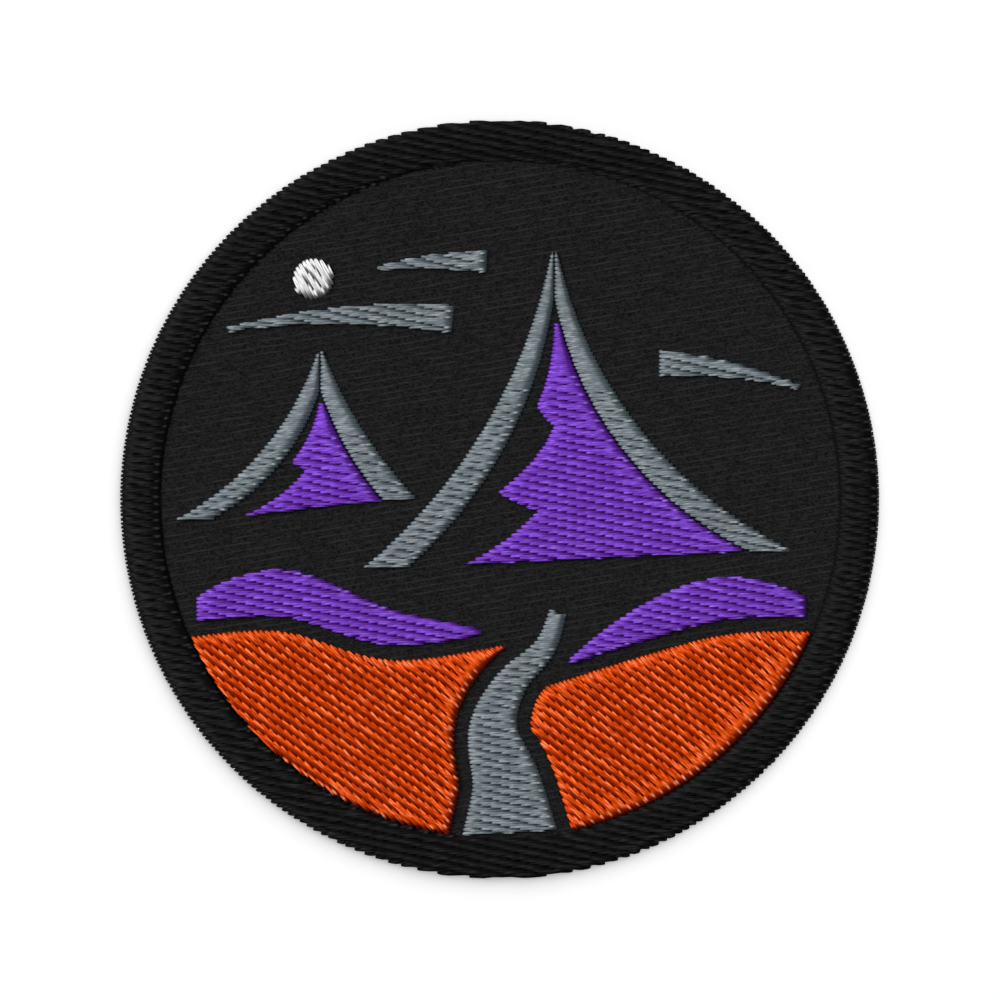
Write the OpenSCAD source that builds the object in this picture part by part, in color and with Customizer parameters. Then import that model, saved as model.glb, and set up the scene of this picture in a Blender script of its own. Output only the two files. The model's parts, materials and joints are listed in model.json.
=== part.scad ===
/* [Patch] */
// Diameter over the stitched border
patch_d = 76.2; // [64:0.1:102]
// Thickness of the twill disc that carries the stitching
cloth_t = 1; // [0.8:0.05:2]

/* [Border] */
// Width of the stitched border
border_w = 4; // [3:0.1:6]
// Height of the border above the cloth
border_h = 0.75; // [0.5:0.05:1.2]
// How far the border's thread stands past the cut edge of the cloth
border_lip = 0.3; // [0.1:0.05:0.6]
// Width of the rounded shoulder on each side of the border
border_round = 0.9; // [0.5:0.05:1.4]

/* [Stitched shapes] */
// Height of the orange river banks above the cloth
bank_h = 0.8; // [0.5:0.05:1.2]
// Height of the purple slopes and hills above the cloth
fill_h = 0.7; // [0.5:0.05:1.2]
// Height of the grey columns above the cloth
column_h = 0.6; // [0.4:0.05:1]
// Height of the wall where a shape's outermost thread enters the cloth
edge_h = 0.2; // [0.1:0.05:0.35]
// Width of the rounded shoulder of a shape
edge_round = 1.1; // [0.6:0.05:1.6]
// Width of a shape at its narrow tip
tip_w = 0.5; // [0.3:0.05:0.8]

/* [Mountains] */
// Height of a ridge line where its two flanks meet at the peak
peak_drop = 5.6; // [4:0.1:6.5]
// Width of a ridge line at the mountain's foot
ridge_w = 4.4; // [3:0.1:5.5]

/* [Hills] */
// Height of the purple hills where they are highest
hill_w = 4.8; // [3:0.1:6]

/* [Clouds] */
// Width of a cloud streak at its thick end
cloud_w = 2.8; // [1.6:0.1:3.2]

/* [Moon] */
// Diameter of the moon
moon_d = 4; // [3:0.1:5]
// Height of the moon above the cloth
moon_h = 0.7; // [0.4:0.05:1]

/* [Gaps] */
// Clearance where two stitched shapes meet
seam = 0.12; // [0.08:0.01:0.25]
// Bare cloth between the river and its banks, and between the banks and the hills
bare = 1.5; // [0.8:0.1:2.2]
// Clearance between the cloth and the thread that lies on it
lay = 0.05; // [0.02:0.01:0.1]

/* [Hidden] */

border_thread = [0.09, 0.09, 0.095];
twill_black = [0.12, 0.12, 0.125];
orange_thread = [0.8, 0.28, 0.08];
purple_thread = [0.42, 0.22, 0.68];
grey_thread = [0.43, 0.46, 0.48];
white_thread = [0.86, 0.86, 0.86];

patch_r = patch_d / 2;
cloth_r = patch_r - border_lip;
field_r = patch_r - border_w;
art_r = field_r - seam;
thread_z = cloth_t + lay;
eps = 0.001;

// Number of steps along a shape and across it
ridge_steps = [14, 6];
face_steps = [20, 8];
hill_steps = [18, 6];
cloud_steps = [10, 6];
river_steps = [28, 8];
bank_steps = [16, 10];

// Columns of the outline tables: place in shares of the field's radius, and how far the arc that
// leaves the point bows out to its left, in shares of its chord
X = 0;
Y = 1;
BOW = 2;

// Each mountain: its peak, its west foot and its east foot, with the bow of each flank, and the
// size of its ridge lines in shares of peak_drop and ridge_w
PEAK = 0;
WEST_FOOT = 1;
EAST_FOOT = 2;
RIDGE = 3;
tall_mountain = [[0.16, 0.76], [-0.4, -0.2, 0.09], [0.86, -0.15, -0.12], 1];
far_mountain = [[-0.53, 0.45], [-0.955, -0.06, 0.1], [-0.245, 0, -0.05], 0.78];

// The lit edge of a mountain's shaded face: share of the way down the flanks, and share of the
// way across from the west ridge to the east ridge
DOWN = 0;
ACROSS = 1;
tall_shade = [[0.08, 0.45], [0.36, 0.18], [0.43, 0.42], [0.68, 0.12], [0.76, 0.35], [1, 0.17]];
far_shade = [[0.1, 0.45], [0.3, 0.32], [0.5, 0.2], [0.6, 0.46], [1, 0.2]];

// The river's middle line from the mountain's foot to the border, and its width in the same shares
WIDTH = 2;
river_course = [[0.17, -0.335, 0.05], [0.13, -0.44, 0.065], [0.03, -0.545, 0.095],
                [-0.02, -0.68, 0.145], [0.02, -0.84, 0.205], [0.03, -0.985, 0.28]];
// Share of the river's length at which its banks begin
bank_start = 0.3;

// Top of each orange bank: the direction in which it leaves the border, and the points that it
// passes on its way to the river
BANK_ANGLE = 0;
BANK_POINTS = 1;
west_bank_top = [204, [[-0.64, -0.39], [-0.32, -0.475]]];
east_bank_top = [337, [[0.66, -0.4], [0.38, -0.475]]];

// Each purple hill: the share of its bank's top that it stands over, from and to, and its height
// at the start, in the middle and at the end, in shares of the hills' height
HILL_SPAN = 0;
HILL_RISE = 1;
west_hill_form = [[0.035, 0.9], [0.5, 1.7, 0.1]];
east_hill_form = [[0.035, 0.88], [0.4, 1.6, 0.1]];

// Cloud streaks: thin end, thick end with its bow, and the thick end's share of the clouds' width
THIN = 0;
THICK = 1;
FULL = 2;
long_cloud = [[-0.8, 0.5], [-0.14, 0.53, 0.04], 1];
short_cloud = [[-0.36, 0.68], [-0.04, 0.7, 0.03], 0.8];
east_cloud = [[0.88, 0.33], [0.47, 0.4, -0.04], 0.95];

moon_place = [-0.55, 0.65];

// The place of a table's row in millimetres
function place(row) = [row[X] * field_r, row[Y] * field_r];

function mix(a, b, t) = a + (b - a) * t;

function turned_left(v) = [-v[Y], v[X]];

function unit(v) = v / norm(v);

function on_ring(angle) = art_r * [cos(angle), sin(angle)];

function bearing(p) = (atan2(p[Y], p[X]) + 360) % 360;

// A point that lies outside the field is drawn in to the border's inner edge
function held_inside(p) = p * min(1, art_r / norm(p));

// Point at share t of the arc from p to q, whose middle stands bow * chord to the left of the chord
function on_arc(p, q, bow, t) =
    let (half = 2 * atan(2 * bow), turn = half * (2 * t - 1))
    abs(bow) < eps
        ? mix(p, q, t)
        : p + (q - p) * (0.5 + sin(turn) / (2 * sin(half)))
            + turned_left(q - p) * (cos(turn) - cos(half)) / (2 * sin(half));

// Value at share s of a table whose rows are evenly spread and joined by straight lines
function along(rows, s) =
    let (last = len(rows) - 1, k = min(floor(s * last), last - 1))
    mix(rows[k], rows[k + 1], s * last - k);

// Value at share s of a smooth line through evenly spread rows, end rows doubled
function smooth_along(rows, s) =
    let (last = len(rows) - 1, k = min(floor(s * last), last - 1), t = s * last - k)
    let (a = rows[max(k - 1, 0)], b = rows[k], c = rows[k + 1], d = rows[min(k + 2, last)])
    (2 * b + (c - a) * t + (2 * a - 5 * b + 4 * c - d) * t * t
        + (3 * b - a - 3 * c + d) * t * t * t) / 2;

// Shares from 0 to 1 in even steps, with two close ones at each end for the rounded shoulder
function stations(steps) =
    concat([0, 0.2 / steps, 0.5 / steps],
           [for (i = [1:steps - 1]) i / steps],
           [1 - 0.5 / steps, 1 - 0.2 / steps, 1]);

// Closely spaced near both sides and wider apart in the middle
function across_share(j, steps) = (1 - cos(180 * j / steps)) / 2;

// Shoulder height at distance d from a shape's edge: a quarter round that ends level
function shoulder(d, high, low, width) =
    low + (high - low) * sqrt(1 - pow(1 - min(1, d / width), 2));

// A raised stitched shape between its left and right edge, as seen on the way from its start to its
// end, with as many points each, in millimetres. Its flat bottom lies on the cloth and its top is
// domed towards all four sides.
module raised(left, right, height, steps) {
    rows = len(left) - 1;
    stride = steps + 1;
    grid = [for (i = [0:rows]) [for (j = [0:steps]) mix(left[i], right[i], across_share(j, steps))]];
    top = [for (i = [0:rows]) for (j = [0:steps])
        let (p = grid[i][j],
             d = min(norm(p - left[i]), norm(p - right[i]), norm(p - grid[0][j]), norm(p - grid[rows][j])))
        [p[X], p[Y], thread_z + shoulder(d, height - lay, edge_h, edge_round)]];
    rim = concat([for (j = [0:steps]) j],
                 [for (i = [1:rows]) i * stride + steps],
                 [for (j = [1:steps]) rows * stride + steps - j],
                 [for (i = [1:rows - 1]) (rows - i) * stride]);
    below = len(top);
    wall = len(rim);
    bottom = [for (k = rim) [top[k][X], top[k][Y], thread_z]];
    left_foot = [for (i = [0:rows]) below + (wall - i) % wall];
    right_foot = [for (i = [0:rows]) below + steps + i];
    top_faces = concat(
        [for (i = [0:rows - 1]) for (j = [0:steps - 1])
            [i * stride + j, (i + 1) * stride + j + 1, i * stride + j + 1]],
        [for (i = [0:rows - 1]) for (j = [0:steps - 1])
            [i * stride + j, (i + 1) * stride + j, (i + 1) * stride + j + 1]]);
    wall_faces = concat(
        [for (k = [0:wall - 1]) [rim[k], below + (k + 1) % wall, below + k]],
        [for (k = [0:wall - 1]) [rim[k], rim[(k + 1) % wall], below + (k + 1) % wall]]);
    // The bottom is a strip from side to side, with a fan at its start and at its end
    bottom_faces = concat(
        [for (j = [0:steps - 1]) [below + j, below + j + 1, left_foot[1]]],
        [for (i = [0:rows - 2]) [right_foot[i], right_foot[i + 1], left_foot[i + 1]]],
        [for (i = [1:rows - 1]) [right_foot[i], left_foot[i + 1], left_foot[i]]],
        [for (j = [0:steps - 1]) [right_foot[rows - 1], right_foot[rows] + j, right_foot[rows] + j + 1]]);
    polyhedron(concat(top, bottom), concat(top_faces, wall_faces, bottom_faces));
}

// Below, side is -1 for west and 1 for east.
// Inner and outer line of one flank of a mountain
function flank_start(mountain, side) = place(mountain[PEAK]) + [side * seam / 2, 0];

function flank_outer(mountain, side, s) =
    let (foot = mountain[side < 0 ? WEST_FOOT : EAST_FOOT])
    on_arc(flank_start(mountain, side), place(foot), foot[BOW], s);

function flank_inner(mountain, side, s) =
    let (foot = mountain[side < 0 ? WEST_FOOT : EAST_FOOT])
    on_arc(flank_start(mountain, side) - [0, peak_drop * mountain[RIDGE]],
           place(foot) - [side * ridge_w * mountain[RIDGE], 0], foot[BOW], s);

// Shaded face of a mountain, from its jagged lit edge to its east ridge
function face_lit_edge(mountain, shade, s) =
    let (row = along(shade, s))
    mix(flank_inner(mountain, -1, row[DOWN]), flank_inner(mountain, 1, row[DOWN]), row[ACROSS]);

function face_ridge_edge(mountain, shade, s) =
    flank_inner(mountain, 1, along(shade, s)[DOWN]) - [seam, seam];

// The river's edge on one side, moved outwards by extra
function river_edge(side, extra, s) =
    let (here = smooth_along(river_course, s),
         ahead = smooth_along(river_course, min(1, s + eps)),
         behind = smooth_along(river_course, max(0, s - eps)),
         run = unit(place(ahead) - place(behind)))
    held_inside(place(here) + side * turned_left(run) * (here[WIDTH] * field_r / 2 + extra));

// Top of a bank, from the border to where the river begins
function bank_top(bank, side, s) =
    smooth_along(concat([on_ring(bank[BANK_ANGLE])],
                        [for (row = bank[BANK_POINTS]) place(row)],
                        [river_edge(side, bare, bank_start)]), s);

// A bank's inland edge: along its top, then down beside the river to the border
function bank_inland(bank, side) =
    let (count = bank_steps[0])
    concat([for (s = stations(count)) if (s < 1) bank_top(bank, side, s)],
           [for (i = [0:count]) river_edge(side, bare, mix(bank_start, 1, i / count))]);

// A bank's outer edge: along the border, a tip's width short of the inland edge at both ends
function bank_outer(bank, side, count) =
    let (tip = -side * atan(tip_w / art_r),
         from = bank[BANK_ANGLE] + tip,
         to = bearing(river_edge(side, bare, 1)) - tip)
    [for (i = [0:count - 1]) on_ring(mix(from, to, i / (count - 1)))];

// A hill stands over its bank's top, above a strip of bare cloth
function hill_bottom(bank, side, form, s) =
    bank_top(bank, side, mix(form[HILL_SPAN][0], form[HILL_SPAN][1], s)) + [0, bare];

function hill_height(form, s) =
    let (rise = form[HILL_RISE])
    hill_w * (rise[0] * pow(1 - s, 2) + 2 * rise[1] * s * (1 - s) + rise[2] * s * s);

// Side lines of a cloud streak, which widens from its thin end to its thick end
function cloud_edge(cloud, side, s) =
    let (thin = place(cloud[THIN]),
         thick = place(cloud[THICK]),
         run = unit(on_arc(thin, thick, cloud[THICK][BOW], min(1, s + eps))
                  - on_arc(thin, thick, cloud[THICK][BOW], max(0, s - eps))))
    on_arc(thin, thick, cloud[THICK][BOW], s)
        + side * turned_left(run) * mix(tip_w, cloud_w * cloud[FULL], s) / 2;

module bank(form, side) {
    inland = bank_inland(form, side);
    outer = bank_outer(form, side, len(inland));
    if (side > 0) raised(outer, inland, bank_h, bank_steps[1]);
    else raised(inland, outer, bank_h, bank_steps[1]);
}

module hill(bank, side, form) {
    shares = stations(hill_steps[0]);
    low = [for (s = shares) hill_bottom(bank, side, form, s)];
    high = [for (s = shares) held_inside(hill_bottom(bank, side, form, s) + [0, hill_height(form, s)])];
    if (side > 0) raised(low, high, fill_h, hill_steps[1]);
    else raised(high, low, fill_h, hill_steps[1]);
}

module face(mountain, shade) {
    shares = stations(face_steps[0]);
    raised([for (s = shares) face_ridge_edge(mountain, shade, s)],
           [for (s = shares) face_lit_edge(mountain, shade, s)],
           fill_h, face_steps[1]);
}

module ridge(mountain, side) {
    shares = stations(ridge_steps[0]);
    outer = [for (s = shares) flank_outer(mountain, side, s)];
    inner = [for (s = shares) flank_inner(mountain, side, s)];
    if (side > 0) raised(outer, inner, column_h, ridge_steps[1]);
    else raised(inner, outer, column_h, ridge_steps[1]);
}

module cloud(form) {
    shares = stations(cloud_steps[0]);
    raised([for (s = shares) cloud_edge(form, 1, s)],
           [for (s = shares) cloud_edge(form, -1, s)],
           column_h, cloud_steps[1]);
}

module twill_base() {
    color(twill_black)
        cylinder(r = cloth_r, h = cloth_t, $fn = 180);
}

// The border's section, turned about the middle of the patch: flat below, domed above
module edge_border() {
    rise = 6;
    crown = [for (i = [0:2 * rise])
        let (d = border_w * across_share(i, 2 * rise))
        [field_r + d, thread_z + shoulder(min(d, border_w - d), border_h - lay, edge_h, border_round)]];
    color(border_thread)
        rotate_extrude($fn = 180)
            polygon(concat([[field_r, thread_z]], crown, [[patch_r, thread_z]]));
}

module west_bank() {
    color(orange_thread) bank(west_bank_top, -1);
}

module east_bank() {
    color(orange_thread) bank(east_bank_top, 1);
}

module river() {
    shares = stations(river_steps[0]);
    color(grey_thread)
        raised([for (s = shares) river_edge(1, 0, s)],
               [for (s = shares) river_edge(-1, 0, s)],
               column_h, river_steps[1]);
}

module west_hill() {
    color(purple_thread) hill(west_bank_top, -1, west_hill_form);
}

module east_hill() {
    color(purple_thread) hill(east_bank_top, 1, east_hill_form);
}

module tall_face() {
    color(purple_thread) face(tall_mountain, tall_shade);
}

module tall_west_ridge() {
    color(grey_thread) ridge(tall_mountain, -1);
}

module tall_east_ridge() {
    color(grey_thread) ridge(tall_mountain, 1);
}

module far_face() {
    color(purple_thread) face(far_mountain, far_shade);
}

module far_west_ridge() {
    color(grey_thread) ridge(far_mountain, -1);
}

module far_east_ridge() {
    color(grey_thread) ridge(far_mountain, 1);
}

module cloud_long() {
    color(grey_thread) cloud(long_cloud);
}

module cloud_short() {
    color(grey_thread) cloud(short_cloud);
}

module cloud_east() {
    color(grey_thread) cloud(east_cloud);
}

module moon() {
    rise = 6;
    dome = [for (i = [0:rise])
        let (d = moon_d * across_share(i, 2 * rise))
        [moon_d / 2 - d, thread_z + shoulder(d, moon_h - lay, edge_h, edge_round)]];
    color(white_thread)
        translate(place(moon_place))
            rotate_extrude($fn = 60)
                polygon(concat([[0, thread_z], [moon_d / 2, thread_z]], dome));
}

twill_base();
edge_border();
west_bank();
east_bank();
river();
west_hill();
east_hill();
tall_face();
tall_west_ridge();
tall_east_ridge();
far_face();
far_west_ridge();
far_east_ridge();
cloud_long();
cloud_short();
cloud_east();
moon();
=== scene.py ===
import bpy
import json
import math
import numpy as np
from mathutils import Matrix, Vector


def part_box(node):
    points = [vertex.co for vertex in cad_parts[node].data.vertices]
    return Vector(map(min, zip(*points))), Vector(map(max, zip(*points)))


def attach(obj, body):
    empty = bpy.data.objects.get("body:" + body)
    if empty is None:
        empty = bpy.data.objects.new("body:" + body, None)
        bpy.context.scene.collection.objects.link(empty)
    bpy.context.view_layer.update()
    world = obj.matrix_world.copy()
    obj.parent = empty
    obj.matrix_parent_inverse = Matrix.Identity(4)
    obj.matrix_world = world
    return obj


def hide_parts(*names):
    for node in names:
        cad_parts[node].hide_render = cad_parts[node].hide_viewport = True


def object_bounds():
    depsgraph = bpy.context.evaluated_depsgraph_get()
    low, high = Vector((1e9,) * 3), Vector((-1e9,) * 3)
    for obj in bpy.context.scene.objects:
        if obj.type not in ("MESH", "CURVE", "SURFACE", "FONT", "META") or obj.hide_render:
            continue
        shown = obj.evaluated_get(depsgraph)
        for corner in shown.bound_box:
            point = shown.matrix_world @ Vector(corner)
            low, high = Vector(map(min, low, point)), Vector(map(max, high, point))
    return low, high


# An embroidered patch, 76 mm across: a black twill disc with a stitched border and a stitched
# landscape. Every stitched area is made of thread, in rows of single stitches that dive into the
# cloth at both ends. Sizes are in millimetres, and become metres where a mesh is made.

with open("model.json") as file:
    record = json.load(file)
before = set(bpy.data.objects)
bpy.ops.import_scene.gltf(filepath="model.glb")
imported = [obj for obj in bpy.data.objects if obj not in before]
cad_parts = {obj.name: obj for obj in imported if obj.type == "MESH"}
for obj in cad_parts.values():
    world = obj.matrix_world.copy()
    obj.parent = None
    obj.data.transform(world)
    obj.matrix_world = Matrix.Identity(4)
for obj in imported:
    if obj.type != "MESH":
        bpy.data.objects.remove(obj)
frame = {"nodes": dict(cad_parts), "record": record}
cadLow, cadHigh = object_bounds()
mm = 0.001
hair = 0.001  # millimetres: heights that differ by less are the same
dice = np.random.default_rng(11)
slotOfNode = {row["node"]: row["material_slot"] for row in frame["record"]["subparts"]}
clothRadius, _, clothTop = (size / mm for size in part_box("twill_base")[1])


# Camera: straight above, as flat as a long lens sees it

shot = {
    "imageSide": 1000,              # pixels
    "patchRadius": 379.2,           # pixels, to the tips of the border's teeth
    "patchMiddle": (499.8, 499.3),  # pixels from the left and from the top
    "height": 500,                  # above the floor
}


def makeCamera():
    perPixel = (cadHigh.x - cadLow.x) / 2 / shot["patchRadius"]
    middleX, middleY = shot["patchMiddle"]
    lens = bpy.data.cameras.new("camera")
    lens.type = "ORTHO"
    lens.ortho_scale = shot["imageSide"] * perPixel
    camera = bpy.data.objects.new("camera", lens)
    camera.location = (
        (shot["imageSide"] / 2 - middleX) * perPixel,
        (middleY - shot["imageSide"] / 2) * perPixel,
        shot["height"] * mm,
    )
    bpy.context.scene.collection.objects.link(camera)
    bpy.context.scene.camera = camera
    print("camera: ", round(lens.ortho_scale / mm, 2), "mm across the picture")


# What shaders are built from

# Gives a socket a fixed value, or links it to what another node puts out
def feed(tree, value, socket):
    if isinstance(value, bpy.types.NodeSocket):
        tree.links.new(value, socket)
    else:
        socket.default_value = value


def mathNode(tree, operation, *values):
    node = tree.nodes.new("ShaderNodeMath")
    node.operation = operation
    for socket, value in zip(node.inputs, values):
        feed(tree, value, socket)
    return node.outputs[0]


def mixColors(tree, share, first, second):
    node = tree.nodes.new("ShaderNodeMix")
    node.data_type = "RGBA"
    feed(tree, share, node.inputs[0])
    for socket, color in ((node.inputs[6], first), (node.inputs[7], second)):
        feed(tree, (*color, 1) if isinstance(color, tuple) else color, socket)
    return node.outputs[2]


# Takes a value from its old range to a new one, and holds it between the new one's ends
def mapRange(tree, value, old, new=(0, 1)):
    node = tree.nodes.new("ShaderNodeMapRange")
    feed(tree, value, node.inputs["Value"])
    ends = {"From Min": old[0], "From Max": old[1], "To Min": new[0], "To Max": new[1]}
    for socket, number in ends.items():
        node.inputs[socket].default_value = number
    return node.outputs["Result"]


# Reads one of the mesh's own attributes
def attributeNode(tree, name):
    node = tree.nodes.new("ShaderNodeAttribute")
    node.attribute_name = name
    return node.outputs


def newGroup(name, inputs, outputs):
    group = bpy.data.node_groups.new(name, "ShaderNodeTree")
    for socket, value in inputs.items():
        made = group.interface.new_socket(name=socket, in_out="INPUT", socket_type="NodeSocketFloat")
        made.default_value = value
    for socket in outputs:
        group.interface.new_socket(name=socket, in_out="OUTPUT", socket_type="NodeSocketFloat")
    return group, group.nodes.new("NodeGroupInput").outputs, group.nodes.new("NodeGroupOutput").inputs


def newMaterial(name, roughness, gloss):
    material = bpy.data.materials.new(name)
    material.use_nodes = True
    shader = material.node_tree.nodes["Principled BSDF"]
    shader.inputs["Roughness"].default_value = roughness
    shader.inputs["Specular IOR Level"].default_value = gloss
    return material, material.node_tree, shader


def bumpFrom(tree, height, distance, strength, shader):
    bump = tree.nodes.new("ShaderNodeBump")
    bump.inputs["Distance"].default_value = distance * mm
    bump.inputs["Strength"].default_value = strength
    tree.links.new(height, bump.inputs["Height"])
    tree.links.new(bump.outputs["Normal"], shader.inputs["Normal"])


# Light: a soft studio, brightest from the upper left. Three suns light the patch alone, one of them
# its back, from straight below. The floor has a sun of its own, high up, so that the shadow on it
# lies below the patch and stays faint. The sky lights all softly, and is white where it is seen.

studio = {
    # Where a sun stands, in degrees round the patch from the right and above the floor, and how wide
    "suns": {
        "key": {"from": 160, "height": 38, "spread": 30, "strength": 3.15, "lights": "patch"},
        "fill": {"from": 50, "height": 50, "spread": 60, "strength": 0.95, "lights": "patch"},
        "under": {"from": 0, "height": -90, "spread": 10, "strength": 2.8, "lights": "patch"},
        "table": {"from": 72, "height": 63, "spread": 84, "strength": 2.2, "lights": "floor"},
    },
    "sky": 0.21,
    "floorColor": (0.95, 0.95, 0.95, 1),
    "floorGlow": 0.235,
    "floorSide": 3000,
    "floorDrop": 0.02,
}


# A floor a hair below the patch, which is clear when it is seen from below
def makeFloor():
    half, z = studio["floorSide"] / 2 * mm, -studio["floorDrop"] * mm
    mesh = bpy.data.meshes.new("floor")
    corners = [(-half, -half, z), (half, -half, z), (half, half, z), (-half, half, z)]
    mesh.from_pydata(corners, [], [(0, 1, 2, 3)])
    floor = bpy.data.objects.new("floor", mesh)
    bpy.context.scene.collection.objects.link(floor)
    material, tree, shader = newMaterial("floor", 1, 0)
    shader.inputs["Base Color"].default_value = studio["floorColor"]
    shader.inputs["Emission Color"].default_value = (1, 1, 1, 1)
    shader.inputs["Emission Strength"].default_value = studio["floorGlow"]
    side = tree.nodes.new("ShaderNodeNewGeometry")
    clear = tree.nodes.new("ShaderNodeBsdfTransparent")
    either = tree.nodes.new("ShaderNodeMixShader")
    tree.links.new(side.outputs["Backfacing"], either.inputs[0])
    tree.links.new(shader.outputs[0], either.inputs[1])
    tree.links.new(clear.outputs[0], either.inputs[2])
    tree.links.new(either.outputs[0], tree.nodes["Material Output"].inputs["Surface"])
    mesh.materials.append(material)
    return floor


# A sun that lights the floor alone, or all but the floor, which then doesn't stop its light either
def makeSun(name, sun, floor):
    lamp = bpy.data.lights.new(name, "SUN")
    lamp.energy = sun["strength"]
    lamp.angle = math.radians(sun["spread"])
    lampObject = bpy.data.objects.new(name, lamp)
    lampObject.rotation_euler = (0, math.radians(90 - sun["height"]), math.radians(sun["from"]))
    bpy.context.scene.collection.objects.link(lampObject)
    isForFloor = sun["lights"] == "floor"
    lit = bpy.data.collections.new(name + "_lights")
    lit.objects.link(floor)
    lit.collection_objects[0].light_linking.link_state = "INCLUDE" if isForFloor else "EXCLUDE"
    lampObject.light_linking.receiver_collection = lit
    if not isForFloor:
        lampObject.light_linking.blocker_collection = lit


def makeSky():
    world = bpy.data.worlds.new("studio")
    world.use_nodes = True
    tree = world.node_tree
    background = tree.nodes["Background"]
    background.inputs["Color"].default_value = (1, 1, 1, 1)
    ray = tree.nodes.new("ShaderNodeLightPath")
    strength = mapRange(tree, ray.outputs["Is Camera Ray"], (0, 1), (studio["sky"], 1))
    tree.links.new(strength, background.inputs["Strength"])
    bpy.context.scene.world = world


def makeStudio():
    bpy.context.scene.view_settings.view_transform = "Standard"
    bpy.context.scene.view_settings.look = "None"
    floor = makeFloor()
    for name, sun in studio["suns"].items():
        makeSun(name, sun, floor)
    makeSky()
    print("studio: ", len(studio["suns"]), "suns and a floor")


# How a mesh is made

def makeMesh(name, points, faceLists, material):
    mesh = bpy.data.meshes.new(name)
    faces = [face for faceList in faceLists for face in faceList.tolist()]
    mesh.from_pydata((points * mm).tolist(), [], faces)
    mesh.polygons.foreach_set("use_smooth", np.ones(len(mesh.polygons), bool))
    mesh.materials.append(material)
    mesh.update()
    piece = bpy.data.objects.new(name, mesh)
    bpy.context.scene.collection.objects.link(piece)
    return piece


def addAttribute(mesh, name, kind, field, values):
    attribute = mesh.attributes.new(name, kind, "POINT")
    attribute.data.foreach_set(field, np.ascontiguousarray(values, np.float32).reshape(-1))


# Twill ground

ground = {
    "ribPitch": 0.66,
    "ribAngle": 9.6,           # of the ribs, in degrees
    "ribHeight": 0.04,
    "stepsPerRib": 6,
    "columns": 40,             # of points along the ribs
    "dipShade": (0.0025, 0.0025, 0.0025),  # painted shade, in the dips where yarns cross
    "color": (0.0155, 0.0155, 0.0155),     # between the ribs
    # painted highlight on the ribs' crests
    "ribHighlight": (0.026, 0.026, 0.026),
    "ribSharpness": 8,         # power of the wave that colours the ribs: more is narrower
    "ribHighlightShares": (0.1, 0.95),  # how much of the painted highlight the ribs have where they fade and where they don't
    "fadeOver": (0.35, 0.65),  # range of the noise over which they fade
    "fadePace": 1.4,           # its waves for each millimetre across the ribs
    "fadeStretch": 0.45,       # and its pace along them, as a share of that
    "waver": 0.35,             # how far the coloured ribs stray, as a share of the pitch
    "waverPace": 0.8,
    "waverStretch": 0.5,
    "dipSize": 0.15,
    "dipStretch": 0.6,
    "dipShadeOver": (0.3, 0.7),     # range of the noise over which a dip's painted shade turns to plain ground
    "bumpHeight": 0.03,
    "bumpStrength": 0.4,
    "roughness": 0.85,
    "gloss": 0.06,
}


# Noise over the cloth, with so many waves for each millimetre across the ribs
def ribNoise(group, place, pace, stretch):
    stretched = group.nodes.new("ShaderNodeMapping")
    stretched.inputs["Rotation"].default_value = (0, 0, -math.radians(ground["ribAngle"]))
    stretched.inputs["Scale"].default_value = (stretch, 1, 1)
    group.links.new(place.outputs[0], stretched.inputs[0])
    noise = group.nodes.new("ShaderNodeTexNoise")
    noise.inputs["Detail"].default_value = 1
    group.links.new(stretched.outputs[0], noise.inputs["Vector"])
    feed(group, pace, noise.inputs["Scale"])
    return noise.outputs["Fac"]


# Woven ground: ribs that slant, waver a little and fade in and out, and dips where yarns cross
def makeWeaveGroup():
    group, given, out = newGroup(
        "twillWeave",
        {"X": 0, "Y": 0, "Z": 0, "Rib pitch": 1, "Waver": 0, "Dip size": 1},
        ["Rib", "Dip", "Fade"],
    )
    place = group.nodes.new("ShaderNodeCombineXYZ")
    for axis in range(3):
        group.links.new(given[axis], place.inputs[axis])
    dipPace = mathNode(group, "DIVIDE", 1, given["Dip size"])
    group.links.new(ribNoise(group, place, dipPace, ground["dipStretch"]), out["Dip"])
    group.links.new(ribNoise(group, place, ground["fadePace"], ground["fadeStretch"]), out["Fade"])
    waver = ribNoise(group, place, ground["waverPace"], ground["waverStretch"])
    towards = math.radians(ground["ribAngle"] + 90)
    wayX = mathNode(group, "MULTIPLY", given["X"], math.cos(towards))
    wayY = mathNode(group, "MULTIPLY", given["Y"], math.sin(towards))
    turns = mathNode(group, "DIVIDE", mathNode(group, "ADD", wayX, wayY), given["Rib pitch"])
    turns = mathNode(group, "ADD", turns, mathNode(group, "MULTIPLY", waver, given["Waver"]))
    wave = mathNode(group, "COSINE", mathNode(group, "MULTIPLY", turns, 2 * math.pi))
    crest = mathNode(group, "MULTIPLY_ADD", wave, 0.5, 0.5)
    group.links.new(mathNode(group, "POWER", crest, ground["ribSharpness"]), out["Rib"])
    return group


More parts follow.
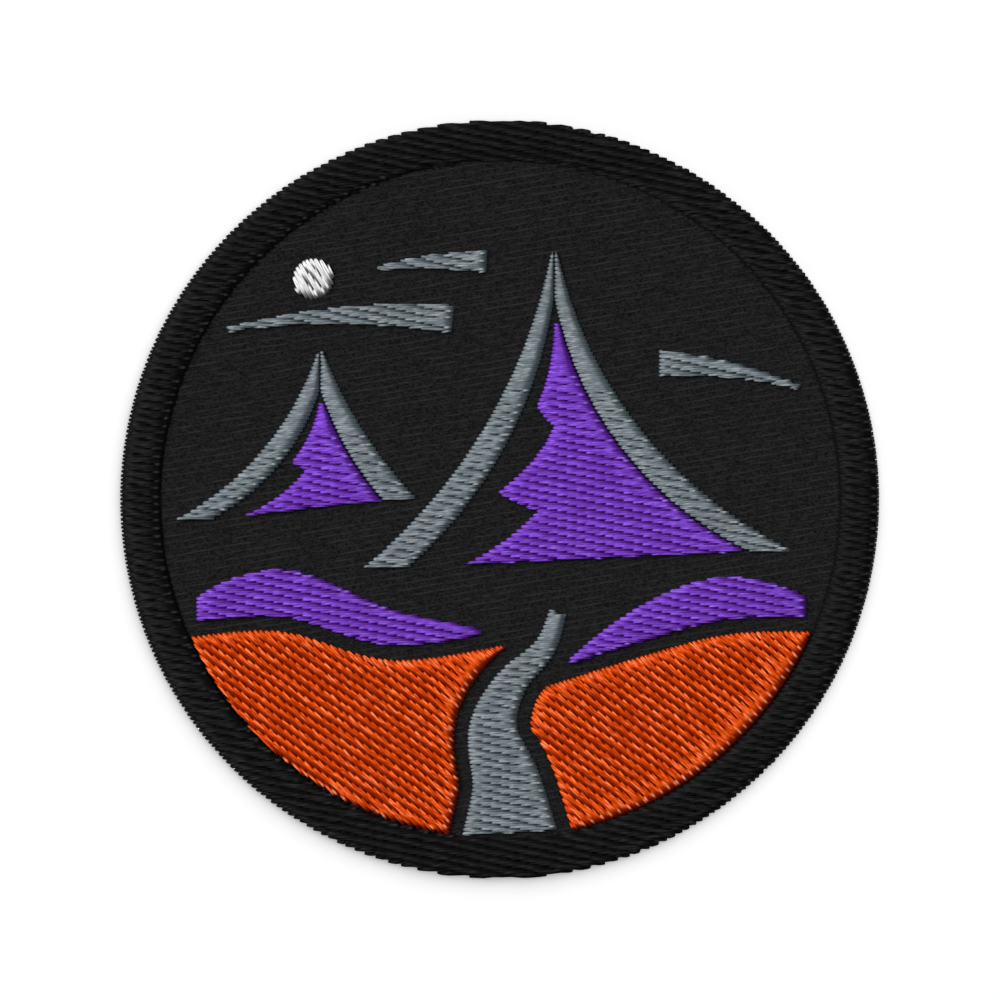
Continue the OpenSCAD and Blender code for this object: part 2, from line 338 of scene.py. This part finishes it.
def makeTwillMaterial():
    material, tree, shader = newMaterial("twill", ground["roughness"], ground["gloss"])
    place = tree.nodes.new("ShaderNodeTexCoord")
    scale = tree.nodes.new("ShaderNodeMapping")
    scale.inputs["Scale"].default_value = (1 / mm, 1 / mm, 1 / mm)
    tree.links.new(place.outputs["Object"], scale.inputs[0])
    parts = tree.nodes.new("ShaderNodeSeparateXYZ")
    tree.links.new(scale.outputs[0], parts.inputs[0])
    weave = tree.nodes.new("ShaderNodeGroup")
    weave.node_tree = makeWeaveGroup()
    for socket, part in zip(("X", "Y", "Z"), parts.outputs):
        tree.links.new(part, weave.inputs[socket])
    weave.inputs["Rib pitch"].default_value = ground["ribPitch"]
    weave.inputs["Waver"].default_value = ground["waver"]
    weave.inputs["Dip size"].default_value = ground["dipSize"]
    rib, dip = weave.outputs["Rib"], weave.outputs["Dip"]
    # Painted shade in the dips where yarns cross, which lie lowest in the bump
    between = mixColors(tree, mapRange(tree, dip, ground["dipShadeOver"]), ground["dipShade"], ground["color"])
    # Painted highlight on the ribs' crests, which stand highest in the mesh, fading in and out
    shown = mapRange(tree, weave.outputs["Fade"], ground["fadeOver"], ground["ribHighlightShares"])
    color = mixColors(tree, mathNode(tree, "MULTIPLY", rib, shown), between, ground["ribHighlight"])
    tree.links.new(color, shader.inputs["Base Color"])
    height = mathNode(tree, "ADD", rib, dip)
    bumpFrom(tree, height, ground["bumpHeight"], ground["bumpStrength"], shader)
    return material


# Disc of cloth on a grid of chords: across the ribs a row stands at v, from -R to R, and along it
# the points stand at u * sqrt(R^2 - v^2), u from -1 to 1. The ribs are a wave of v.
def makeGround():
    rows = round(2 * clothRadius / ground["ribPitch"] * ground["stepsPerRib"])
    v = np.linspace(-clothRadius, clothRadius, rows)[1:-1, None]
    u = np.linspace(-1, 1, ground["columns"])
    chord = u * np.sqrt(clothRadius ** 2 - v ** 2)
    angle = math.radians(ground["ribAngle"])
    x = chord * math.cos(angle) - v * math.sin(angle)
    y = chord * math.sin(angle) + v * math.cos(angle)
    wave = 0.5 - 0.5 * np.cos(2 * np.pi * v / ground["ribPitch"])
    upper = np.dstack([x, y, np.broadcast_to(clothTop - ground["ribHeight"] * wave, x.shape)])
    lower = np.dstack([x, y, np.zeros(x.shape)])
    index = np.arange(x.size).reshape(x.shape)
    quads = np.stack([index[:-1, :-1], index[:-1, 1:], index[1:, 1:], index[1:, :-1]], axis=2)
    quads = quads.reshape(-1, 4)
    rim = np.concatenate([index[0], index[1:, -1], index[-1, -2::-1], index[-2:0:-1, 0]])
    after = np.roll(rim, -1)
    wall = np.column_stack([rim + x.size, after + x.size, after, rim])
    piece = makeMesh(
        "twill_ground",
        np.concatenate([upper.reshape(-1, 3), lower.reshape(-1, 3)]),
        [quads, quads[:, ::-1] + x.size, wall],
        makeTwillMaterial(),
    )
    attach(piece, "root")
    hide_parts("twill_base")
    print("twill: ", len(piece.data.polygons), "faces")


# Thread

# Colours, in order: painted shade in the needle holes, at the ends of rows and on the padding; body,
# the thread's own colour; two painted highlights, a sheen and its brightest streaks along the
# filaments, set at random by their noise, which so also gives the filaments' own differing tone; and
# glint, a painted highlight on the short stitches at the ends of rows. Angle is the way that the rows
# run, in degrees, and stagger how far the holes move on from row to row, as a share of a stitch. At
# the end of a row two rows draw together by turnsAtEnd, as a share of what they do at its start. Over
# fall a stitch sinks back into the cloth. Holes stray by holeStray, and the thread by stray sideways
# and by lift up and down. Breadth is a share of the usual thread's, and filaments are the waves across
# its back.
# Shoulder is the width of an area's round edge, and fullness the power of its curve. Anything in
# threadFinish and stitching may be given here too, and then goes before what stands there.
threadLooks = {
    "border_thread": {
        "paintedShade": (0.005, 0.005, 0.005), "body": (0.0106, 0.0106, 0.0106),
        "brightSheen": (0.015, 0.015, 0.015), "streak": (0.0215, 0.0215, 0.0215),
        "glint": (0.029, 0.029, 0.029), "angle": 0, "stagger": -0.25,
        "turnsAtEnd": 0.35, "fall": 2.6, "holeStray": 0.15, "stray": 0.04, "lift": 0.05,
        "breadth": 1.15, "filaments": 1.3, "shoulder": 1.8, "fullness": 1, "gloss": 0.01,
        "turnReach": 1.4, "turnBend": 2, "turnIn": 0.8, "turnOut": 0.8,
        "dive": 0.17, "riseLength": 0.4, "startLength": 0.38, "endLength": 1.6, "endShare": 0.6,
    },
    "orange_thread": {
        "paintedShade": (0.29, 0.0172, 0), "body": (0.44, 0.0325, 0), "brightSheen": (0.89, 0.106, 0.009),
        "streak": (0.92, 0.25, 0.092), "glint": (0.94, 0.33, 0.18), "angle": -45, "stagger": 0.25,
        "turnsAtEnd": 0, "fall": 2.6, "holeStray": 0.1, "stray": 0.02, "lift": 0.012,
        "breadth": 1, "filaments": 3.2, "shoulder": 1.1, "fullness": 0.5, "gloss": 0.025,
    },
    "purple_thread": {
        "paintedShade": (0.11, 0.017, 0.31), "body": (0.14, 0.036, 0.385), "brightSheen": (0.21, 0.065, 0.6),
        "streak": (0.295, 0.123, 0.76), "glint": (0.33, 0.17, 0.75), "angle": 0, "stagger": -0.25,
        "turnsAtEnd": 0, "fall": 2.0, "holeStray": 0.07, "stray": 0.02, "lift": 0.012,
        "breadth": 1, "filaments": 2, "shoulder": 1.1, "fullness": 0.5,
    },
    "grey_thread": {
        "paintedShade": (0.09, 0.118, 0.132), "body": (0.132, 0.157, 0.171), "brightSheen": (0.219, 0.253, 0.273),
        "streak": (0.33, 0.362, 0.38), "glint": (0.37, 0.4, 0.41), "angle": 0, "stagger": -0.25,
        "turnsAtEnd": 0, "fall": 1.8, "holeStray": 0.1, "stray": 0.025, "lift": 0.015,
        "breadth": 1, "filaments": 2, "shoulder": 1.1, "fullness": 0.5, "shortestRow": 0.25,
    },
    "white_thread": {
        "paintedShade": (0.22, 0.21, 0.21), "body": (0.65, 0.65, 0.66), "brightSheen": (0.88, 0.88, 0.88),
        "streak": (1.0, 1.0, 1.0), "glint": (1.0, 1.0, 1.0), "angle": -60, "stagger": 0.25,
        "turnsAtEnd": 0, "fall": 2.0, "holeStray": 0.08, "stray": 0.02, "lift": 0.012,
        "breadth": 1, "filaments": 2, "shoulder": 1.8, "fullness": 0.6,
    },
}

threadFinish = {
    "brightSheenOver": (0.36, 0.6),   # range of the filaments' noise over which the body turns to the painted sheen
    "streakOver": (0.56, 0.75),  # and over which that turns to its brightest painted streaks
    "paintedShadeOver": (0.05, 0.6),     # share of the way into a hole over which all turns to painted shade
    "twistLength": 2.6,          # the plies wind round each other once over this
    "filamentPace": 0.9,         # the filaments' waves for each millimetre along the thread
    "filamentApart": 57,         # how far the stitches' filaments lie apart in the noise
    "filamentLuck": 0.12,        # how far the noise of two stitches may differ in level
    "filamentHeight": 0.5,       # as a share of the plies' height
    "bumpHeight": 0.02,
    "bumpStrength": 0.6,
    "roughness": 0.45,
    "gloss": 0.04,
}


# Twisted thread: two plies wind round each other, and fine filaments run along them. Along is the
# way along the thread in mm, Around goes from 0 to 1 over its back, Chance differs by stitch.
def makeTwistGroup():
    group, given, out = newGroup(
        "threadTwist",
        {"Along": 0, "Around": 0, "Chance": 0, "Twist length": 1, "Filaments": 1},
        ["Plies", "Filament"],
    )
    turns = mathNode(group, "DIVIDE", given["Along"], given["Twist length"])
    wound = mathNode(group, "ADD", mathNode(group, "ADD", turns, given["Around"]), given["Chance"])
    wave = mathNode(group, "SINE", mathNode(group, "MULTIPLY", wound, 2 * math.pi))
    group.links.new(mathNode(group, "MULTIPLY_ADD", wave, 0.5, 0.5), out["Plies"])
    along = mathNode(group, "MULTIPLY", given["Along"], threadFinish["filamentPace"])
    across = mathNode(group, "ADD", given["Around"], turns)
    across = mathNode(group, "MULTIPLY", across, given["Filaments"])
    apart = mathNode(group, "MULTIPLY", given["Chance"], threadFinish["filamentApart"])
    place = group.nodes.new("ShaderNodeCombineXYZ")
    for axis, way in enumerate((along, across, apart)):
        group.links.new(way, place.inputs[axis])
    noise = group.nodes.new("ShaderNodeTexNoise")
    noise.inputs["Scale"].default_value = 1
    noise.inputs["Detail"].default_value = 2
    group.links.new(place.outputs[0], noise.inputs["Vector"])
    luck = threadFinish["filamentLuck"]
    brighter = mathNode(group, "MULTIPLY_ADD", given["Chance"], luck, -luck / 2)
    group.links.new(mathNode(group, "ADD", noise.outputs["Fac"], brighter), out["Filament"])
    return group


def makeThreadMaterial(name, look, twistGroup):
    own = {**threadFinish, **look}
    material, tree, shader = newMaterial(name, own["roughness"], own["gloss"])
    thread, holeAndShade, glint = (attributeNode(tree, part) for part in ("thread", "holeAndShade", "glint"))
    parts = tree.nodes.new("ShaderNodeSeparateXYZ")
    tree.links.new(thread["Vector"], parts.inputs[0])
    twist = tree.nodes.new("ShaderNodeGroup")
    twist.node_tree = twistGroup
    for socket, part in zip(("Along", "Around", "Chance"), parts.outputs):
        tree.links.new(part, twist.inputs[socket])
    twist.inputs["Twist length"].default_value = own["twistLength"]
    twist.inputs["Filaments"].default_value = own["filaments"]
    filament = twist.outputs["Filament"]
    # Painted highlights: the filament noise turns the body to a sheen and then to its brightest streaks,
    # at random, which also gives the filaments' own differing tone
    lit = mixColors(tree, mapRange(tree, filament, own["brightSheenOver"]), own["body"], own["brightSheen"])
    lit = mixColors(tree, mapRange(tree, filament, own["streakOver"]), lit, own["streak"])
    # Painted shade: darker towards the needle holes and the ends of rows, and all over the padding
    shaded = mixColors(tree, mapRange(tree, holeAndShade["Fac"], own["paintedShadeOver"]), lit, own["paintedShade"])
    color = mixColors(tree, glint["Fac"], shaded, own["glint"])
    tree.links.new(color, shader.inputs["Base Color"])
    height = mathNode(tree, "MULTIPLY_ADD", filament, own["filamentHeight"], twist.outputs["Plies"])
    bumpFrom(tree, height, own["bumpHeight"], own["bumpStrength"], shader)
    return material


# Stitched areas

stitching = {
    "rowPitch": 0.2,           # from one row of thread to the next
    "stitchLength": 3.8,       # from needle hole to needle hole
    "wholeRow": 2.6,           # a row no longer than this is one stitch, as in a satin column
    "shortest": 0.95,          # no hole lies nearer than this to the start of its row
    "shortestEnd": 0.8,        # and this to its end
    "shortestRow": 0.45,       # a shorter row is left out
    "strayMost": 2,            # a hole strays no further than so many times its usual stray
    "turnReach": 0.6,          # over this way two rows draw together where they leave one hole
    "turnBend": 1.3,           # power of their curve there: 2 is a quarter circle, 1 is straight
    "turnIn": 0.5,             # so far at most a row may end short of the outline for it
    "turnOut": 0.12,           # and so far at most it may run out of the area
    "threadWidth": 0.235,
    "threadHeight": 0.16,
    "squareness": 0.48,        # power of sine and cosine in its section: 1 is round, less is squarer
    "slimAtHole": 0.35,        # share of its breadth that it loses at a hole that shows
    "slimAtStart": 0.4,        # how much of that it loses at the start of a row
    "unevenBreadth": 0.05,     # how far stitches differ in breadth, as a share
    "unevenHeight": 0.006,     # and in height
    "twistStart": 5,           # a stitch's twist starts anywhere within this length of thread
    "dive": 0.25,              # how far the thread sinks at a needle hole
    "diveBend": 0.75,          # power of the way to the hole: less than 1 sinks early
    "riseLength": 0.2,         # out of a hole
    "startLength": 0.12,       # the same at the start of a row
    "endLength": 1.0,          # back into the cloth at the end of a row
    "endShare": 0.35,          # but no more than this share of the stitch
    "fallShare": 0.65,         # the same for a fall within a row
    "beadFall": 0.3,           # the way back into the cloth at the end of a short last stitch
    "glintPlace": 0.47,        # from the end of a short last stitch to the middle of its glint
    "glintLength": 0.14,
    "straySize": 1.7,          # length of the waves in which the thread strays sideways
    "liftSize": 0.9,           # and up and down
    "wrap": 0.6,               # how much further it sinks round the cloth's cut edge
    "wrapReach": 0.3,          # and over which way past it
    "standOut": 0.215,         # what stands out past the cut edge by more than this
    "holdIn": 0.6,             # is pulled in by this share
    "edgeHeight": 0.2,         # surface of an area at its very edge
    "coreDrop": 0.72,          # height of the padding below the thread, as a share of the area's
    "coreRise": 0.02,          # of the padding's edge above the cloth, before it is sunk
    "coreInset": 0.4,          # the padding keeps this far inside the outline
    "coreSink": 0.25,          # and outside that it lies this far down in the cloth
    "coreFoot": 0.3,           # how far down its bottom lies
    "coreLip": 0.14,           # how far it reaches past the cloth's cut edge
}
# Stations along a stitch, closest where it bends most, and round the thread, in degrees
stitchStations = np.array([0, 0.03, 0.06, 0.3, 0.55, 0.66, 0.77, 0.88, 1])
threadRound = np.radians([-22, 22, 66, 114, 158, 202])


# A CAD node's corners in mm with doubles merged, its triangles, and the sides of its flat bottom
# that only one triangle uses, which together are the outline of the area
def cadShape(nodeName):
    mesh = frame["nodes"][nodeName].data
    corners = np.empty(len(mesh.vertices) * 3, np.float32)
    mesh.vertices.foreach_get("co", corners)
    mesh.calc_loop_triangles()
    triangles = np.empty(len(mesh.loop_triangles) * 3, np.int32)
    mesh.loop_triangles.foreach_get("vertices", triangles)
    rounded = np.round(corners.reshape(-1, 3) / mm, 4)  # to a ten-thousandth of a millimetre
    corners, merged = np.unique(rounded, axis=0, return_inverse=True)
    triangles = merged.reshape(-1)[triangles].reshape(-1, 3)
    onBottom = corners[:, 2] < corners[:, 2].min() + hair
    bottom = triangles[onBottom[triangles].all(axis=1)]
    sides = np.sort(np.concatenate([bottom[:, [0, 1]], bottom[:, [1, 2]], bottom[:, [2, 0]]]), axis=1)
    sides, uses = np.unique(sides, axis=0, return_counts=True)
    return corners, triangles, corners[sides[uses == 1]][:, :, :2]


# Distance from each point to the nearest side: the point is dropped on the side's line and held
# between its ends
def distanceToOutline(points, sides):
    start, run = sides[:, 0], sides[:, 1] - sides[:, 0]
    way = points[:, None] - start
    share = np.clip((way * run).sum(axis=2) / (run * run).sum(axis=1), 0, 1)
    return np.sqrt(((way - share[:, :, None] * run) ** 2).sum(axis=2)).min(axis=1)


# Rows of thread across an outline, in axes turned so that the thread runs along the first one. A
# row lies between an even and an odd multiple of the pitch. It starts where the even line enters
# the outline and ends where the odd line leaves it, so that each end is shared by two rows.
def threadRows(sides, own):
    pitch = own["rowPitch"]
    a, b = sides[:, 0], sides[:, 1]
    number = np.arange(math.floor(sides[..., 1].min() / pitch), math.ceil(sides[..., 1].max() / pitch))
    level = (number + 0.5) * pitch
    rise = b[:, 1] - a[:, 1]
    lean = (b[:, 0] - a[:, 0]) / np.where(rise == 0, 1, rise)
    crosses = (a[:, 1] <= level[:, None]) != (b[:, 1] <= level[:, None])
    at = np.where(crosses, a[:, 0] + (level[:, None] - a[:, 1]) * lean, np.inf)
    most = int(crosses.sum(axis=1).max())
    order = np.argsort(at, axis=1)[:, :most]
    at = np.take_along_axis(at, order, axis=1)
    lean = lean[order]
    wide = np.isfinite(at[:, 1::2]) & (at[:, 1::2] - at[:, 0::2] > own["shortestRow"])
    row, which = np.nonzero(wide)
    evenLine = 2 * np.floor((number + 1) / 2) * pitch
    oddLine = (2 * np.floor(number / 2) + 1) * pitch
    startShift = lean[:, 0::2] * (evenLine - level)[:, None]
    endShift = lean[:, 1::2] * (oddLine - level)[:, None]
    start = at[:, 0::2] + np.clip(startShift, -own["turnOut"], own["turnIn"])
    end = at[:, 1::2] + np.clip(endShift, -own["turnIn"], own["turnOut"])
    return {
        "number": number[row],
        "level": level[row],
        "start": start[row, which],
        "end": end[row, which],
        "startLine": evenLine[row],
        "endLine": oddLine[row],
    }


# Cuts every row at its needle holes, which stand a stitch length apart, move on by the stagger
# from row to row and stray a little: the stitches of all rows as (row, from, to)
def cutRows(rows, own):
    length, stray = own["stitchLength"], own["holeStray"]
    start, end = rows["start"], rows["end"]
    phase = rows["number"] * own["stagger"]
    first = np.ceil((start + own["shortest"]) / length - phase)
    most = int(np.ceil((end - start).max() / length)) + 1
    holes = (first[:, None] + np.arange(most) + phase[:, None]) * length
    farthest = own["strayMost"] * stray
    holes += dice.normal(0, stray, holes.shape).clip(-farthest, farthest)
    holes[holes > (end - own["shortestEnd"])[:, None]] = np.nan
    holes[end - start < own["wholeRow"]] = np.nan
    knots = np.sort(np.column_stack([start, holes, end]), axis=1)
    row, which = np.nonzero(np.isfinite(knots[:, 1:]))
    return row, knots[row, which], knots[row, which + 1]


# Smooth wander over the cloth: the sum of slow sine waves that run in chance directions, and whose
# lengths are about the size
def wander(x, y, size):
    count, least, most = 9, 0.7, 1.5
    towards = dice.uniform(0, 2 * math.pi, count)
    pace = 2 * math.pi / (size * dice.uniform(least, most, count))
    way = x[..., None] * (pace * np.cos(towards)) + y[..., None] * (pace * np.sin(towards))
    return np.sin(way + dice.uniform(0, 2 * math.pi, count)).sum(axis=-1) * math.sqrt(2 / count)


# The stitches seen from above, as the way u along the row and v across the rows, and as places on the
# cloth. A stitch lies on its row's level, strays a little, and is drawn to the line between two rows
# where both leave one hole. What stands out past the cloth's cut edge is pulled in by a share.
def stitchPaths(rows, row, begin, along, turn, own):
    level = rows["level"][row, None]
    u = begin[:, None] + along
    v = level + own["stray"] * wander(u, np.broadcast_to(level, u.shape), own["straySize"])
    for end, strength in (("start", 1), ("end", own["turnsAtEnd"])):
        near = np.clip(1 - np.abs(u - rows[end][row, None]) / own["turnReach"], 0, 1)
        pull = 1 - (1 - near ** own["turnBend"]) ** (1 / own["turnBend"])
        v += (rows[end + "Line"][row, None] - level) * pull * strength
    flat = np.stack([u, v], axis=2) @ turn
    fromMiddle = np.hypot(flat[..., 0], flat[..., 1])
    pastCloth = fromMiddle - clothRadius
    pulledIn = own["holdIn"] * np.maximum(0, pastCloth - own["standOut"])
    flat *= (1 - pulledIn / fromMiddle)[..., None]
    return u, v, flat, pastCloth


# Height of an area's domed surface, which drops as a round shoulder towards the outline. On an area
# narrower than two shoulders the dome is an arch over each row: as high as the shoulder is at the
# row's deepest point, and round across all of its width.
def domeHeight(nodeName, sides, flat, row, own):
    low, high = (corner.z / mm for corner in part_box(nodeName))
    depth = distanceToOutline(flat.reshape(-1, 2), sides).reshape(flat.shape[:2])
    deepest = np.zeros(row.max() + 1)
    np.maximum.at(deepest, row, depth.max(axis=1))
    across = np.minimum(own["shoulder"], deepest[row, None])
    arch, height = (
        1 - (1 - np.minimum(1, share)) ** 2
        for share in (depth / across, across / own["shoulder"])
    )
    shoulder = (arch * height) ** own["fullness"]
    return low + own["edgeHeight"] + (high - low - own["edgeHeight"]) * shoulder


# Middle line of every stitch: the area's surface less half the thread's height, and less the dive,
# which grows as a power of the way to a hole. With it come the way along the stitch, how near it is
# to a hole, which also sets the painted shade, how much the thread narrows and how much of it is in
# the painted glint.
def stitchLines(nodeName, sides, turn, own):
    rows = threadRows(sides @ turn.T, own)
    row, begin, finish = cutRows(rows, own)
    length = (finish - begin)[:, None]
    along = stitchStations * length
    u, v, flat, pastCloth = stitchPaths(rows, row, begin, along, turn, own)
    isFirst = (begin == rows["start"][row])[:, None]
    isLast = (finish == rows["end"][row])[:, None]
    lengthOfShort = own["shortestEnd"] + abs(own["stagger"]) * own["stitchLength"]
    isShort = isLast & ~isFirst & (length < lengthOfShort)
    riseLength = np.where(isFirst, own["startLength"], own["riseLength"])
    endLength = np.minimum(own["endLength"], own["endShare"] * length)
    fallLength = np.minimum(own["fall"], own["fallShare"] * length)
    fallLength = np.where(isLast, endLength, fallLength)
    fallLength = np.where(isShort, own["beadFall"], fallLength)
    rise = np.clip(1 - along / riseLength, 0, 1)
    fall = np.clip(1 - (length - along) / fallLength, 0, 1)
    # How near a hole: the thread sinks by it, and its colour turns to painted shade by it
    holeAndShade = np.maximum(rise, fall) ** own["diveBend"]
    slimness = np.where(isLast, np.maximum(rise, fall * own["turnsAtEnd"]), holeAndShade)
    slimness = np.where(isFirst & (rise > 0), own["slimAtStart"] * rise, slimness)
    bend = (length - along - own["glintPlace"]) / own["glintLength"]
    glint = np.where(isShort, np.exp(-bend * bend), 0)
    z = domeHeight(nodeName, sides, flat, row, own) - own["threadHeight"] / 2 - own["dive"] * holeAndShade
    z -= own["wrap"] * np.clip(pastCloth / own["wrapReach"], 0, 1)
    z += own["lift"] * wander(u, v, own["liftSize"]) + dice.normal(0, own["unevenHeight"], (len(z), 1))
    return np.dstack([flat, z]), along, holeAndShade, slimness, glint


# Closed tubes round the middle lines: a rounded box of the thread's width and height, which narrows
# towards the holes that show, is carried along each line. Its corners stand at the width times the
# cosine and the height times the sine of threadRound, both raised to the power of squareness.
def threadTubes(lines, along, slimness, own):
    count, stations = lines.shape[:2]
    around = len(threadRound)
    run = np.gradient(lines, axis=1)
    run /= np.linalg.norm(run, axis=2, keepdims=True)
    level = np.stack([-run[..., 1], run[..., 0], np.zeros(run.shape[:2])], axis=2)
    level /= np.linalg.norm(level, axis=2, keepdims=True)
    upward = np.cross(run, level)
    uneven = dice.uniform(1 - own["unevenBreadth"], 1 + own["unevenBreadth"], (count, 1, 1, 1))
    slim = (1 - own["slimAtHole"] * slimness)[:, :, None, None] * uneven
    cosine, sine = (
        (np.sign(share) * np.abs(share) ** own["squareness"])[:, None]
        for share in (np.cos(threadRound), np.sin(threadRound))
    )
    width = own["breadth"] * own["threadWidth"] / 2 * slim * cosine
    height = own["threadHeight"] / 2 * slim * sine
    points = lines[:, :, None] + width * level[:, :, None] + height * upward[:, :, None]
    index = np.arange(count * stations * around).reshape(count, stations, around)
    here, ahead = index[:, :-1], index[:, 1:]
    quads = np.stack([here, ahead, np.roll(ahead, -1, axis=2), np.roll(here, -1, axis=2)], axis=3)
    caps = np.concatenate([index[:, 0], index[:, -1, ::-1]])
    chance = dice.random((count, 1, 1))
    along = along[:, :, None] + own["twistStart"] * chance
    thread = np.stack(np.broadcast_arrays(along, np.linspace(0, 1, around), chance), axis=3)
    return points.reshape(-1, 3), quads.reshape(-1, 4), caps, thread.reshape(-1, 3)


# The padding under the thread: the CAD solid with its dome pressed down and its edge sunk in the
# cloth, and nowhere past the cloth's cut edge by more than a lip
def paddingOf(corners, sides, own):
    low = corners[:, 2].min()
    flat = corners[:, :2]
    inset = np.clip(1 - distanceToOutline(flat, sides) / own["coreInset"], 0, 1)
    pressed = own["coreRise"] + (corners[:, 2] - low - own["edgeHeight"]) * own["coreDrop"]
    pressed -= own["coreSink"] * inset
    pressed[corners[:, 2] < low + hair] = -own["coreFoot"]
    radius = np.hypot(*flat.T)[:, None]
    flat = flat * np.minimum(1, (clothRadius + own["coreLip"]) / radius)
    return np.column_stack([flat, clothTop + pressed])


def makeStitchedArea(nodeName, material):
    slot = slotOfNode[nodeName]
    own = {**stitching, **threadLooks[slot]}
    angle = math.radians(own["angle"])
    turn = np.array([[math.cos(angle), math.sin(angle)], [-math.sin(angle), math.cos(angle)]])
    corners, triangles, sides = cadShape(nodeName)
    lines, along, holeAndShade, slimness, glint = stitchLines(nodeName, sides, turn, own)
    points, quads, caps, thread = threadTubes(lines, along, slimness, own)
    padding = paddingOf(corners, sides, own)
    piece = makeMesh(
        nodeName + "_thread",
        np.concatenate([points, padding]),
        [quads, caps, triangles + len(points)],
        material,
    )
    around = len(threadRound)
    thread = np.concatenate([thread, np.zeros(padding.shape)])
    # The padding takes the painted shade all over
    holeAndShade = np.concatenate([holeAndShade.repeat(around), np.ones(len(padding))])
    glint = np.concatenate([glint.repeat(around), np.zeros(len(padding))])
    addAttribute(piece.data, "thread", "FLOAT_VECTOR", "vector", thread)
    addAttribute(piece.data, "holeAndShade", "FLOAT", "value", holeAndShade)
    addAttribute(piece.data, "glint", "FLOAT", "value", glint)
    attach(piece, "root")
    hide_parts(nodeName)
    triangleCount = sum(len(face.vertices) - 2 for face in piece.data.polygons)
    print("stitched: ", nodeName, len(lines), "stitches", triangleCount, "triangles")


makeCamera()
makeStudio()
makeGround()
twistGroup = makeTwistGroup()
threadMaterials = {
    name: makeThreadMaterial(name, look, twistGroup)
    for name, look in threadLooks.items()
}
for nodeName, slot in slotOfNode.items():
    if slot in threadMaterials:
        makeStitchedArea(nodeName, threadMaterials[slot])
